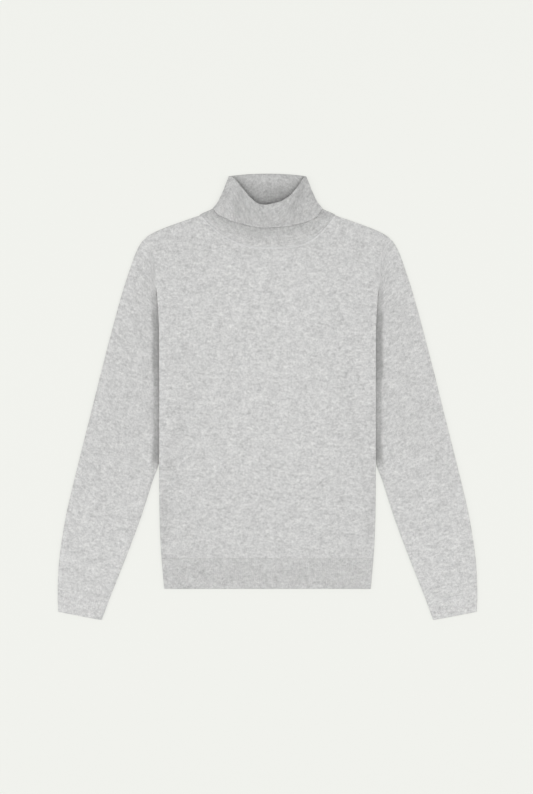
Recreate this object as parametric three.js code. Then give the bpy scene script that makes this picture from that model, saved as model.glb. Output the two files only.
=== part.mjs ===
// A fine knit turtleneck sweater, laid flat on its back with its front up.
// Millimetres. x runs across towards the wearer's left, "up" runs from the hem's edge towards the
// neck, z is the height over the surface that it lies on. Each piece of cloth is a wall on a middle
// surface.
import * as THREE from "three";

const { lerp, clamp, smoothstep } = THREE.MathUtils;

// Cloth
const wall = 1.8;
const seamGap = 0.3;
const layerStep = wall + seamGap; // from the middle of one layer to the middle of the next
const knitColour = 0xcfcfcd;
const ribColour = 0xc6c5c4;

// Lengths above the hem's edge
const hemRibUp = 52;
const underarmUp = 517;
const shoulderTipUp = 593.3;
const neckPointUp = 635.8;
const frontNeckDrop = 56.4;
const backNeckDrop = 8;
const collarCornerUp = 702;
const collarBackUp = 706.4;
const cuffTipUp = -53.2;
const originUp = (collarBackUp + cuffTipUp) / 2; // the middle of the whole length

// Widths from the middle
const shoulderTipAcross = 211.5;
const neckHalf = 114;
const collarCornerHalf = 66;

// How the sleeves lie under the body's sides
const hiddenSleeveTop = 4;
const bodyLift = hiddenSleeveTop + seamGap;
const liftFrom = 128;
const liftTo = 156;

// Air between the two layers of the body, a sleeve and a cuff, over the seam gap
const bodyAir = 0.4;
const bodySideAir = 1.7;
const sleeveAir = 3.2;
const cuffAir = 1.5;
const pressedAir = 0.1;

// Ribs
const ribPitch = 3.2;
const ribHeight = 0.5;
const cuffLength = 38;

// Body edge: half width at each height
const bodySide = [
  { up: 0, half: 176 },
  { up: 24, half: 178 },
  { up: 52, half: 180.5 },
  { up: 83, half: 182.5 },
  { up: 150, half: 184.2 },
  { up: 440, half: 184.6 },
  { up: 474, half: 186.2 },
  { up: 508, half: 188.6 },
  { up: 517, half: 190.9 },
];

// Seam between body and sleeve, from underarm to shoulder tip
const armhole = [
  { up: underarmUp, half: 190.9 },
  { up: 542, half: 191.3 },
  { up: 562.7, half: 193.8 },
  { up: 579.7, half: 199.8 },
  { up: shoulderTipUp, half: shoulderTipAcross },
];

// Shoulder line, from neck point to shoulder tip
const shoulder = [
  { half: neckHalf, up: neckPointUp },
  { half: 138.6, up: 627.3 },
  { half: 184.5, up: 610.3 },
  { half: 204, up: 600 },
  { half: shoulderTipAcross, up: shoulderTipUp },
];

// Sleeve's outer fold, from shoulder tip to cuff
const sleeveOuter = [
  { half: shoulderTipAcross, up: shoulderTipUp },
  { half: 222, up: 576 },
  { half: 234.6, up: 542 },
  { half: 250.8, up: 491 },
  { half: 278, up: 389 },
  { half: 303.5, up: 287 },
  { half: 329, up: 185 },
  { half: 344.3, up: 117 },
  { half: 354.5, up: 49 },
  { half: 357, up: 0 },
  { half: 356, up: -39 },
];

// Sleeve's inner fold: along the body's edge, then under the body, then free
const sleeveInner = [
  { half: 191.6, up: underarmUp - 0.3 },
  { half: 189.2, up: 508 },
  { half: 187.9, up: 492 },
  { half: 187.1, up: 480 },
  { half: 182, up: 468 },
  { half: 172, up: 447 },
  { half: 163, up: 400 },
  { half: 163, up: 330 },
  { half: 170, up: 275 },
  { half: 184, up: 215 },
  { half: 194.7, up: 185 },
  { half: 216.8, up: 117 },
  { half: 242.3, up: 49 },
  { half: 269.5, up: -19 },
  { half: 282.2, up: cuffTipUp },
];

// Collar: its outline at the side, of the turned-down part
const rollSide = [
  { up: collarCornerUp, half: collarCornerHalf },
  { up: 691, half: 70.5 },
  { up: 678, half: 75.5 },
  { up: 668, half: 80 },
  { up: 659, half: 84.5 },
  { up: 650, half: 91 },
  { up: 646.5, half: 94.2 },
];

// Collar: outline of the standing part, which shows only below the turned-down part
const sideStep = 2.6;
const standSide = [
  { up: neckPointUp, half: neckHalf + wall / 2 },
  { up: 640, half: 104.5 },
  { up: 643.5, half: 96.5 },
  ...rollSide.map(({ up, half }) => ({ up, half: half - sideStep })).reverse(),
];

// Collar: the front fold and the front free edge at shares of the half width
const frontFold = [
  { share: 0, up: 653.2 },
  { share: 0.15, up: 654.6 },
  { share: 0.3, up: 658.2 },
  { share: 0.5, up: 665.6 },
  { share: 0.68, up: 675.5 },
  { share: 0.86, up: 690 },
  { share: 1, up: collarCornerUp },
];
const frontFreeEdge = [
  { share: 0, up: 613.8 },
  { share: 0.27, up: 615.6 },
  { share: 0.48, up: 620 },
  { share: 0.64, up: 624.6 },
  { share: 0.77, up: 629.6 },
  { share: 0.9, up: 635.5 },
  { share: 1, up: 646.5 },
];
const backFreeEdgeUp = 646.5;

// Collar: heights of the middle of each layer
const backRollZ = wall / 2;
const rollStep = layerStep + seamGap;
const backStandZ = backRollZ + rollStep;
const frontStandZ = 6.2;
const frontRise = 8; // what the front stand climbs further at the middle of its fold
const rollFlare = 0.8;

// A smooth curve through a table's rows, read as a function of one column.
function readTable(rows, from, to, value) {
  const ordered = rows[0][from] < rows.at(-1)[from] ? rows : [...rows].reverse();
  const last = ordered.length - 1;
  if (value <= ordered[0][from]) return ordered[0][to];
  if (value >= ordered[last][from]) return ordered[last][to];
  const k = ordered.findIndex((row) => row[from] >= value) - 1;
  const slope = (a, b) => (ordered[b][to] - ordered[a][to]) / (ordered[b][from] - ordered[a][from]);
  const tangent = (i) => {
    if (i === 0) return slope(0, 1);
    if (i === last) return slope(last - 1, last);
    const before = slope(i - 1, i);
    const after = slope(i, i + 1);
    return before * after <= 0 ? 0 : (2 * before * after) / (before + after);
  };
  const span = ordered[k + 1][from] - ordered[k][from];
  const t = (value - ordered[k][from]) / span;
  const rise = ordered[k + 1][to] - ordered[k][to];
  return (
    ordered[k][to] +
    rise * t * t * (3 - 2 * t) +
    span * t * (1 - t) * (tangent(k) * (1 - t) - tangent(k + 1) * t)
  );
}

const planCurve = (rows) => new THREE.SplineCurve(rows.map((row) => new THREE.Vector2(row.half, row.up)));

// A plan curve moved sideways by a distance, to its left when it is positive.
function offsetCurve(curve, distance, steps = 60) {
  const points = [];
  for (let i = 0; i <= steps; i++) {
    const tangent = curve.getTangentAt(i / steps);
    const point = curve.getPointAt(i / steps);
    points.push(new THREE.Vector2(point.x - tangent.y * distance, point.y + tangent.x * distance));
  }
  return new THREE.SplineCurve(points);
}

function distanceToLine(points, x, y) {
  let nearest = Infinity;
  for (let i = 1; i < points.length; i++) {
    const a = points[i - 1];
    const dx = points[i].x - a.x;
    const dy = points[i].y - a.y;
    const t = clamp(((x - a.x) * dx + (y - a.y) * dy) / (dx * dx + dy * dy), 0, 1);
    nearest = Math.min(nearest, Math.hypot(x - a.x - t * dx, y - a.y - t * dy));
  }
  return nearest;
}

// Folds. Near a fold the two layers close along a quarter of an ellipse, never tighter than the wall allows.
const tightestBend = 1.25;
const widestBend = 5;

function closing(distance, halfHeight) {
  const reach = clamp((halfHeight * halfHeight) / tightestBend, halfHeight, widestBend);
  const left = 1 - Math.min(distance, reach) / reach;
  return Math.sqrt(1 - left * left);
}

const shoulderInset = wall / 2 + 0.06; // the middle surface under a sloping outline
const sideHalf = (up) => readTable(bodySide, "up", "half", up);
const shoulderUp = (half) => readTable(shoulder, "half", "up", half) - shoulderInset;
const frontNeckUp = (share) => neckPointUp - 1 - (frontNeckDrop - 1) * (1 - Math.abs(share) ** 2.3);
const backNeckUp = (share) => neckPointUp - 1 - (backNeckDrop - 1) * (1 - share * share);

const armholeCurve = planCurve(armhole);
const armholeLength = armholeCurve.getLength();
const armholeLine = armholeCurve.getSpacedPoints(32);
const armholeHalf = (up) => readTable(armholeLine, "y", "x", up);

const sideFold = [];
for (let up = 0; up <= underarmUp; up += underarmUp / 40) {
  sideFold.push(new THREE.Vector2(sideHalf(up) - wall / 2, up));
}
const shoulderFold = [];
for (let i = 0; i <= 20; i++) {
  const half = lerp(neckHalf, shoulderTipAcross - 0.5, i / 20);
  shoulderFold.push(new THREE.Vector2(half, shoulderUp(half)));
}
const bodyFoldDistance = (half, up) =>
  Math.min(distanceToLine(sideFold, half, up), distanceToLine(shoulderFold, half, up));

// How far the body's underside is off the surface, over the parts of the sleeves that lie under it.
function liftAt(half, up) {
  const along = smoothstep(up, 150, 190) * (1 - smoothstep(up, 486, underarmUp));
  return bodyLift * smoothstep(half, liftFrom, liftTo) * along;
}

function bodyAirAt(half, up) {
  const nearSide = smoothstep(half, 110, 175);
  const nearShoulder = smoothstep(up, 560, 615) * smoothstep(half, 60, 110);
  const pressedHem = lerp(0.75, 1, smoothstep(up, 30, 110));
  return bodyAir + (bodySideAir - bodyAir) * Math.max(nearSide, nearShoulder) * pressedHem;
}

// Middle of the body's front (layer 1) or back (layer -1) at a place in the plan.
function bodyPoint(x, up, layer) {
  const half = Math.abs(x);
  const halfHeight = (layerStep + bodyAirAt(half, up)) / 2;
  const middle = liftAt(half, up) + wall / 2 + halfHeight;
  const closed = closing(bodyFoldDistance(half, up), halfHeight);
  const offset = seamGap / 2 + (halfHeight - seamGap / 2) * closed;
  return new THREE.Vector3(x, up, middle + layer * offset);
}

// Edges of a body panel's middle surface.
const foldSampling = 4; // width beside an edge that the closest columns and rows fill
const foldShare = 0.1;

function panelEdgeHalf(up) {
  if (up <= underarmUp) return sideHalf(up) - wall / 2;
  const intoSeam = smoothstep(up, underarmUp, underarmUp + 8);
  return armholeHalf(up) - lerp(wall / 2, seamGap / 2, intoSeam);
}
const panelTopHalf = shoulderTipAcross - seamGap / 2;
const panelTopEdgeUp = shoulderUp(panelTopHalf);

function panelTopUp(half, layer) {
  if (half > neckHalf - 0.01) return shoulderUp(half);
  const share = half / neckHalf;
  return (layer > 0 ? frontNeckUp(share) : backNeckUp(share)) - seamGap * 0.7;
}

// Share from 0 to 1 turned into a length, with its end taken in cosine steps.
function cosineEnd(share, length) {
  if (share <= 1 - foldShare) return (share / (1 - foldShare)) * (length - foldSampling);
  const angle = (((1 - share) / foldShare) * Math.PI) / 2;
  return length - foldSampling * (1 - Math.cos(angle));
}

// column runs from -1 to 1 across a panel, row from 0 at the hem rib to 1 at the shoulders.
function panelSurface(layer) {
  const start = hemRibUp + seamGap / 2;
  return (column, row) => {
    const edgeUp = start + cosineEnd(row, panelTopEdgeUp - start);
    const half = cosineEnd(Math.abs(column), panelEdgeHalf(edgeUp));
    const topHalf = cosineEnd(Math.abs(column), panelTopHalf);
    const bend = ((edgeUp - start) / (panelTopEdgeUp - start)) ** 2;
    const up = edgeUp + (panelTopUp(topHalf, layer) - panelTopEdgeUp) * bend;
    return bodyPoint(Math.sign(column) * half, up, layer);
  };
}

// Sleeve
const outerCurve = offsetCurve(planCurve(sleeveOuter), -wall / 2);
const innerCurve = offsetCurve(planCurve(sleeveInner), wall / 2);
const sleeveFoldLines = [innerCurve.getSpacedPoints(90), outerCurve.getSpacedPoints(60)];
const innerCuffShare = 1 - cuffLength / innerCurve.getLength();
const outerCuffShare = 1 - cuffLength / outerCurve.getLength();

function sleeveAirAt(half, up) {
  const away = smoothstep(distanceToLine(armholeLine, half, up), 5, 80);
  const full = lerp(lerp(bodySideAir, sleeveAir, away), cuffAir, 1 - smoothstep(up, -20, 70));
  const beside = half - sideHalf(up);
  const valley = 8 * clamp((underarmUp - up) / 80, 0, 1);
  const open = smoothstep(beside, valley, valley + 9);
  const pressed = (1 - smoothstep(up, 486, underarmUp)) * (1 - open);
  return lerp(full, pressedAir, pressed);
}

function sleevePoint(half, up, layer) {
  const halfHeight = (layerStep + sleeveAirAt(half, up)) / 2;
  const distance = Math.min(...sleeveFoldLines.map((line) => distanceToLine(line, half, up)));
  const z = wall / 2 + halfHeight * (1 + layer * closing(distance, halfHeight));
  return new THREE.Vector3(half, up, z);
}

// The first section follows the armhole. Its two ends swing into the folds within a few millimetres.
const seamSwing = 8;

function armholeSection(across, inner, outer) {
  const seam = armholeCurve.getPointAt(across);
  const tangent = armholeCurve.getTangentAt(across);
  const gap = (seamGap / 2) * (1 + 2 * across ** 8);
  const nearInner = Math.max(0, 1 - (across * armholeLength) / seamSwing) ** 2;
  const nearOuter = Math.max(0, 1 - ((1 - across) * armholeLength) / seamSwing) ** 2;
  const start = armholeCurve.getPointAt(0);
  const end = armholeCurve.getPointAt(1);
  return new THREE.Vector2(
    seam.x + tangent.y * gap + (inner.x - start.x) * nearInner + (outer.x - end.x) * nearOuter,
    seam.y - tangent.x * gap + (inner.y - start.y) * nearInner + (outer.y - end.y) * nearOuter,
  );
}

// Plan place on a sleeve: along from 0 at the armhole to 1 at the cuff's end, across from 0 at the inner fold.
function sleevePlan(across, innerShare, outerShare, along) {
  const inner = innerCurve.getPointAt(innerShare);
  const outer = outerCurve.getPointAt(outerShare);
  const place = inner.clone().lerp(outer, across);
  const bow = 1 - smoothstep(along, 0, 0.22);
  if (bow > 0) {
    const first = innerCurve.getPointAt(0);
    const last = outerCurve.getPointAt(0);
    const section = armholeSection(across, first, last);
    place.addScaledVector(section.sub(first.lerp(last, across)), bow);
  }
  return place;
}

// turn runs once round a flattened tube from 0 to 6: upper layer 0 to 3, lower layer 3 to 6, with a
// quarter of a fold in the first and last unit of each. flat spaces the places between the folds.
const evenly = (share) => share;

function turnPlace(turn, width, flat = evenly) {
  const round = ((turn % 6) + 6) % 6;
  const layer = round <= 3 ? 1 : -1;
  const step = round <= 3 ? round : 6 - round;
  const reach = Math.min(foldSampling, width * 0.2);
  let along = reach + flat(clamp(step - 1, 0, 1)) * (width - 2 * reach);
  if (step < 1) along = reach * (1 - Math.cos((step * Math.PI) / 2));
  if (step > 2) along = width - reach * (1 - Math.cos(((3 - step) * Math.PI) / 2));
  return { layer, across: along / width };
}

// Steps across a sleeve: up to the body's edge, over the valley beside it, up its slope, then evenly on.
const sleeveSteps = 6;

function sleeveSpacing(inner, outer) {
  const width = inner.distanceTo(outer);
  const toEdge = (sideHalf(inner.y) - inner.x) / (outer.x - inner.x);
  const first = Math.max(0.05, toEdge);
  const second = first + 8 / width;
  const third = second + 9 / width;
  return (share) => {
    const step = share * sleeveSteps;
    if (step < 1) return first * step;
    if (step < 2) return lerp(first, second, step - 1);
    if (step < 3) return lerp(second, third, step - 2);
    return lerp(third, 1, (step - 3) / (sleeveSteps - 3));
  };
}

function tubeSurface(shares, spacing = () => evenly) {
  return (turn, along) => {
    const { inner, outer, bow } = shares(along);
    const innerPlace = innerCurve.getPointAt(inner);
    const outerPlace = outerCurve.getPointAt(outer);
    const width = innerPlace.distanceTo(outerPlace);
    const { layer, across } = turnPlace(turn, width, spacing(innerPlace, outerPlace));
    const place = sleevePlan(across, inner, outer, bow);
    return sleevePoint(place.x, place.y, layer);
  };
}
// The same tube with its second value from -1 at the cuff's end to 0 at the armhole, so that the wall's
// outer face looks out of the tube.
const fromCuff = (surface) => (turn, back) => surface(turn, -back);
const turnedRound = (sections) => sections.map((section) => -section).reverse();

// Near the underarm the sections fan out, so the inner fold is passed more slowly there.
const sleeveShares = (along) => ({
  inner: lerp(along ** 1.35, along, smoothstep(along, 0, 0.6)) * innerCuffShare,
  outer: along * outerCuffShare,
  bow: along,
});
const sleeveSurface = tubeSurface(sleeveShares, sleeveSpacing);
const cuffStart = seamGap / cuffLength;
const cuffSurface = tubeSurface((along) => {
  const share = lerp(cuffStart, 1, along);
  return { inner: lerp(innerCuffShare, 1, share), outer: lerp(outerCuffShare, 1, share), bow: 1 };
});

// Collar. turn goes round it as on a sleeve, with its left fold at 0 and its right fold at 3.
const standFoldTopUp = collarCornerUp - 2;
const foldGap = wall / 2 + rollStep / 2; // from the outline of the fold to where its bend starts

function collarZ(share, up, front) {
  if (!front) return lerp(wall / 2, backStandZ, smoothstep(up, backNeckUp(share), backFreeEdgeUp));
  const base = lerp(wall / 2 + layerStep + bodyAir, frontStandZ, smoothstep(up, 618, 643));
  const foot = frontNeckUp(share);
  const climbed = clamp((up - foot) / (frontFoldUp(share) - foot), 0, 1.1);
  return base + frontRise * (1 - share * share) * climbed ** 1.6;
}
const frontFoldUp = (share) => readTable(frontFold, "share", "up", Math.abs(share)) - foldGap;
const backFoldUp = (share) =>
  collarCornerUp + (collarBackUp - collarCornerUp) * (1 - share * share) - foldGap;

// Middle of one collar layer. part gives its side outline, its two ends and its height over the stand.
function collarPoint(turn, along, part) {
  const sideUp = lerp(part.fromUp, part.toUp, along);
  const half = readTable(part.side, "up", "half", sideUp) - wall / 2;
  const { layer, across } = turnPlace(turn, 2 * half);
  const share = across * 2 - 1;
  const front = layer > 0;
  const up = lerp(part.start(share, front), part.end(share, front), along);
  const open = collarZ(share, up, front) + (front ? 1 : -1) * part.step(along, front);
  const foot = wall / 2 + (layerStep + bodySideAir) / 2;
  const top = (frontStandZ + backStandZ) / 2;
  const middle = lerp(foot, top, smoothstep(up, neckPointUp - 1, 645));
  const fromSide = half * (1 - Math.abs(share));
  const closed = closing(fromSide, Math.abs(open - middle));
  return new THREE.Vector3(share * half, up, lerp(middle, open, closed));
}

// The seam opens a little towards the neck points, where both walls turn on edge.
const neckSeam = (share) => seamGap * (0.9 + 3 * share ** 6);
const stand = {
  side: standSide,
  fromUp: neckPointUp - 0.6,
  toUp: standFoldTopUp,
  start: (share, front) => (front ? frontNeckUp(share) : backNeckUp(share)) + neckSeam(share),
  end: (share, front) => (front ? frontFoldUp(share) : backFoldUp(share)),
  step: () => 0,
};
const roll = {
  side: rollSide,
  fromUp: collarCornerUp - foldGap + wall / 2,
  toUp: rollSide.at(-1).up,
  start: (share, front) => (front ? frontFoldUp(share) : backFoldUp(share)),
  end: (share, front) =>
    front ? readTable(frontFreeEdge, "share", "up", Math.abs(share)) : backFreeEdgeUp,
  step: (along, front) => rollStep + (front ? rollFlare * smoothstep(along, 0.65, 1) : 0),
};

// along runs 0 to 1 up the stand, 1 to 2 round the fold and 2 to 3 down the turned-down part.
function collarSurface(turn, along) {
  if (along <= 1) return collarPoint(turn, along, stand);
  if (along >= 2) return collarPoint(turn, along - 2, roll);
  const inside = collarPoint(turn, 1, stand);
  const outside = collarPoint(turn, 0, roll);
  const before = collarPoint(turn, 0.97, stand);
  const centre = inside.clone().add(outside).multiplyScalar(0.5);
  const radius = outside.clone().sub(inside).multiplyScalar(0.5);
  const size = radius.length();
  const ahead = inside.clone().sub(before);
  ahead.addScaledVector(radius, -ahead.dot(radius) / (size * size)).setLength(size);
  const angle = (along - 1) * Math.PI;
  return centre.addScaledVector(radius, -Math.cos(angle)).addScaledVector(ahead, Math.sin(angle));
}

// Wall on a surface. surface(p, q) gives its middle; raise(p, q) is what its outer face adds.
const nudge = 0.002;

function normalAt(surface, p, q, span) {
  const lowP = span.ring ? p - nudge : Math.max(span.ps[0], p - nudge);
  const highP = span.ring ? p + nudge : Math.min(span.ps.at(-1), p + nudge);
  const lowQ = Math.max(span.qs[0], q - nudge);
  const highQ = Math.min(span.qs.at(-1), q + nudge);
  const alongP = surface(highP, q).sub(surface(lowP, q)).normalize();
  const alongQ = surface(p, highQ).sub(surface(p, lowQ)).normalize();
  return alongP.cross(alongQ).normalize();
}

function clothWall(surface, ps, qs, { ring = false, raise = () => 0 } = {}) {
  const span = { ring, ps, qs };
  const outer = [];
  const inner = [];
  for (const q of qs) {
    for (const p of ps) {
      const middle = surface(p, q);
      const normal = normalAt(surface, p, q, span);
      outer.push(...middle.clone().addScaledVector(normal, wall / 2 + raise(p, q)).toArray());
      inner.push(...middle.clone().addScaledVector(normal, -wall / 2).toArray());
    }
  }
  const columns = ps.length;
  const count = columns * qs.length;
  const faces = [];
  const quad = (a, b, c, d) => faces.push(a, b, c, a, c, d);
  const at = (column, row) => row * columns + (column % columns);
  const strips = ring ? columns : columns - 1;
  const lastRow = qs.length - 1;
  for (let column = 0; column < strips; column++) {
    for (let row = 0; row < lastRow; row++) {
      const corners = [at(column, row), at(column + 1, row), at(column + 1, row + 1), at(column, row + 1)];
      quad(...corners);
      quad(...corners.reverse().map((corner) => corner + count));
    }
    const [low, lowNext] = [at(column, 0), at(column + 1, 0)];
    const [high, highNext] = [at(column, lastRow), at(column + 1, lastRow)];
    quad(lowNext, low, low + count, lowNext + count);
    quad(high, highNext, highNext + count, high + count);
  }
  for (let row = 0; row < lastRow && !ring; row++) {
    const [left, leftNext] = [at(0, row), at(0, row + 1)];
    const [right, rightNext] = [at(columns - 1, row), at(columns - 1, row + 1)];
    quad(left, leftNext, leftNext + count, left + count);
    quad(rightNext, right, right + count, rightNext + count);
  }
  const geometry = new THREE.BufferGeometry();
  geometry.setAttribute("position", new THREE.Float32BufferAttribute([...outer, ...inner], 3));
  geometry.setIndex(faces);
  geometry.translate(0, -originUp, 0);
  return geometry;
}

function mirrored(geometry) {
  const copy = geometry.clone().scale(-1, 1, 1);
  const index = Array.from(copy.getIndex().array);
  for (let i = 0; i < index.length; i += 3) [index[i], index[i + 1]] = [index[i + 1], index[i]];
  copy.setIndex(index);
  return copy;
}

const steps = (from, to, count) => Array.from({ length: count + 1 }, (_, i) => lerp(from, to, i / count));
const bothSides = (shares) => [...shares.map((share) => -share).reverse(), ...shares.slice(1)];
const edgeShares = [1 - foldShare * 0.7, 1 - foldShare * 0.38, 1];

// Turns round a tube, closer together at its two folds.
const foldTurns = [0, 0.38, 0.7];
const ringTurns = (upper, lower) => [
  ...foldTurns,
  ...steps(1, 2, upper),
  2.3,
  2.62,
  ...foldTurns.map((turn) => 3 + turn),
  ...steps(4, 5, lower),
  5.3,
  5.62,
];
const sleeveTurns = ringTurns(sleeveSteps, sleeveSteps);
const seamTurns = sleeveTurns.filter((turn) => turn <= 3);
const collarTurns = ringTurns(14, 8);
const neckTurns = collarTurns.filter((turn) => turn >= 1.5 && turn <= 3);

// Panels: the columns meet the collar's first ring, and the rows the sleeves' first section.
const neckColumns = neckTurns.map((turn) => {
  const half = (turnPlace(turn, 2 * neckHalf).across * 2 - 1) * neckHalf;
  return ((1 - foldShare) * half) / (panelTopHalf - foldSampling);
});
const panelColumns = bothSides([
  ...neckColumns,
  ...steps(neckColumns.at(-1), 1 - foldShare, 4).slice(1),
  ...edgeShares,
]);
const rowUps = [hemRibUp + seamGap / 2, 90, 150, 170, 190, 260, 340, 410, 460, 486, 501];
const rowShare = (up) => {
  const start = hemRibUp + seamGap / 2;
  const flat = panelTopEdgeUp - foldSampling;
  if (up <= flat) return ((1 - foldShare) * (up - start)) / (flat - start);
  const left = clamp((panelTopEdgeUp - up) / foldSampling, 0, 1);
  return 1 - (foldShare * Math.acos(1 - left)) / (Math.PI / 2);
};
const seamStart = innerCurve.getPointAt(0);
const seamEnd = outerCurve.getPointAt(0);
const seamUps = seamTurns.map((turn) => {
  const spacing = sleeveSpacing(seamStart, seamEnd);
  const { across } = turnPlace(turn, seamStart.distanceTo(seamEnd), spacing);
  return armholeSection(across, seamStart, seamEnd).y;
});
const panelRows = [...rowUps, ...seamUps].map(rowShare);

const front = clothWall(panelSurface(1), panelColumns, panelRows);
const back = clothWall(panelSurface(-1), panelColumns, panelRows);

// Hem rib: the body's own section carried down to the edge, ribbed on top of the front.
function ribSurface(layer) {
  return (column, row) => {
    const up = lerp(0, hemRibUp - seamGap / 2, row);
    return bodyPoint(Math.sign(column) * cosineEnd(Math.abs(column), sideHalf(up) - wall / 2), up, layer);
  };
}
const hemRibs = 2 * Math.round(bodySide[0].half / ribPitch);
const ribWave = (share, ribs) => ribHeight * (0.5 + 0.5 * Math.cos(2 * Math.PI * ribs * share));
const hemRibColumns = [-1, ...steps(foldShare - 1, 1 - foldShare, hemRibs * 2), 1];
const hemRaise = (column) =>
  Math.abs(column) === 1 ? 0 : ribWave((column / (1 - foldShare) + 1) / 2, hemRibs);
const hemFront = clothWall(ribSurface(1), hemRibColumns, [0, 1], { raise: hemRaise });
const hemBack = clothWall(ribSurface(-1), bothSides([...steps(0, 1 - foldShare, 6), ...edgeShares]), [0, 1]);

// Sleeves and cuffs
const sleeveSections = [0, 0.04, 0.08, 0.12, 0.16, 0.2, 0.26, 0.33, 0.42, 0.5, 0.58, 0.65, 0.73, 0.82, 0.91, 1];
const sleeveLeft = clothWall(fromCuff(sleeveSurface), sleeveTurns, turnedRound(sleeveSections), {
  ring: true,
});
const cuffWidth = 74;
const cuffRibs = Math.round((cuffWidth - 2 * foldSampling) / ribPitch);
const cuffRaise = (turn) => (turn >= 1 && turn <= 2 ? ribWave(turn - 1, cuffRibs) : 0);
const cuffLeft = clothWall(fromCuff(cuffSurface), ringTurns(cuffRibs * 2, 4), turnedRound([0, 1]), {
  ring: true,
  raise: cuffRaise,
});

// Collar
const standRows = [0, 0.08, 0.16, 0.3, 0.5, 0.72, 0.88, 1];
const bendRows = [1.25, 1.5, 1.75];
const rollRows = [2, 2.12, 2.3, 2.55, 2.78, 2.9, 3];
const collar = clothWall(collarSurface, collarTurns, [...standRows, ...bendRows, ...rollRows], {
  ring: true,
});

const group = new THREE.Group();

function addPiece(name, geometry, colour) {
  geometry.computeVertexNormals();
  const material = new THREE.MeshStandardMaterial({ color: colour, roughness: 0.95, metalness: 0 });
  const mesh = new THREE.Mesh(geometry, material);
  mesh.name = name;
  group.add(mesh);
}

addPiece("front", front, knitColour);
addPiece("back", back, knitColour);
addPiece("hem_rib_front", hemFront, ribColour);
addPiece("hem_rib_back", hemBack, ribColour);
addPiece("sleeve_left", sleeveLeft, knitColour);
addPiece("sleeve_right", mirrored(sleeveLeft), knitColour);
addPiece("cuff_left", cuffLeft, ribColour);
addPiece("cuff_right", mirrored(cuffLeft), ribColour);
addPiece("roll_collar", collar, ribColour);

export default group;
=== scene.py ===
import math

import bpy
import numpy as np
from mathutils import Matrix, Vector


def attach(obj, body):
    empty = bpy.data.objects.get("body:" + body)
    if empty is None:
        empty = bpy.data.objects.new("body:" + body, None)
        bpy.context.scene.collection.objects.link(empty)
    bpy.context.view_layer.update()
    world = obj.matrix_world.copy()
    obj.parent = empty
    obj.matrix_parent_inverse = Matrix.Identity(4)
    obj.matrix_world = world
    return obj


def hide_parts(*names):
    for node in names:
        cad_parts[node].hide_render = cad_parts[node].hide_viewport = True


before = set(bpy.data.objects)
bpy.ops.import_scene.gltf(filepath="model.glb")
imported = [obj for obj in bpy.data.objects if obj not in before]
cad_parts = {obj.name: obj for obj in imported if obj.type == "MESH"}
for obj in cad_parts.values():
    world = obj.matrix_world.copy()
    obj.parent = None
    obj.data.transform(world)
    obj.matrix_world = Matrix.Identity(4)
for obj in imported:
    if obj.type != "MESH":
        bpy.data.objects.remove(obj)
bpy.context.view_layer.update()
print("frame loaded with", len(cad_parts), "solids")

# Sizes are in millimetres, with the names and values of the part's solids. x runs across towards the
# wearer's left, up runs from the hem's edge towards the neck, z is the height over the floor.
millimetre = 0.001
cloth = {
    "wall": 1.8,
    "seamGap": 0.3,
    "layerStep": 2.1,
    "tightestBend": 1.25,
    "widestBend": 5,
    "foldSampling": 4,
    "foldShare": 0.1,
    "originUp": 326.6,  # the middle of the whole length
    "seamRim": 0.2,  # how far back from a seam an edge starts to round off
    "freeRim": 0.9,
    "rimLeast": 0.3,  # share of the thickness that is left at an edge
    "sharpAngle": 48,
}
halfWall, halfGap = cloth["wall"] / 2, cloth["seamGap"] / 2
sides = {"Left": 1, "Right": -1}


# Readings of curves and tables


def smooth(value, low, high):
    t = np.clip((value - low) / (high - low), 0, 1)
    return t * t * (3 - 2 * t)


def lerp(a, b, t):
    return a + (b - a) * t


def unit(vectors):
    return vectors / np.maximum(np.linalg.norm(vectors, axis=-1, keepdims=True), 1e-9)


def join(*parts):
    return np.concatenate(parts)


def spread(*parts):
    return np.stack(np.broadcast_arrays(*parts), -1)


def readTable(table, source, target, value):
    # a smooth curve through named columns, which never overshoots its rows
    known, wanted = np.array(table[source], float), np.array(table[target], float)
    if known[0] > known[-1]:
        known, wanted = known[::-1], wanted[::-1]
    slope = np.diff(wanted) / np.diff(known)
    before, after = slope[:-1], slope[1:]
    total = np.where(before * after > 0, before + after, 1)
    inside = np.where(before * after > 0, 2 * before * after / total, 0)
    tangent = join(slope[:1], inside, slope[-1:])
    value = np.clip(value, known[0], known[-1])
    k = np.clip(np.searchsorted(known, value) - 1, 0, len(known) - 2)
    span = known[k + 1] - known[k]
    t = (value - known[k]) / span
    return (
        wanted[k]
        + (wanted[k + 1] - wanted[k]) * t * t * (3 - 2 * t)
        + span * t * (1 - t) * (tangent[k] * (1 - t) - tangent[k + 1] * t)
    )


class PlanCurve:
    # a line in the plan, read by the share of its length
    def __init__(self, line):
        self.line = np.array(line, float)
        steps = np.hypot(*np.diff(self.line, axis=0).T)
        self.length = steps.sum()
        self.shares = join([0], np.cumsum(steps)) / self.length

    def place(self, share):
        return np.stack([np.interp(share, self.shares, self.line[:, i]) for i in (0, 1)], -1)

    def tangent(self, share, reach=0.004):
        ahead = self.place(np.clip(share + reach, 0, 1)) - self.place(np.clip(share - reach, 0, 1))
        return unit(ahead)

    def spaced(self, count):
        return self.place(np.linspace(0, 1, count + 1))

    def offset(self, distance, count=400):
        share = np.linspace(0, 1, count + 1)
        tangent = self.tangent(share)
        aside = np.stack([-tangent[:, 1], tangent[:, 0]], -1)
        return PlanCurve(self.place(share) + aside * distance)


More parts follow.
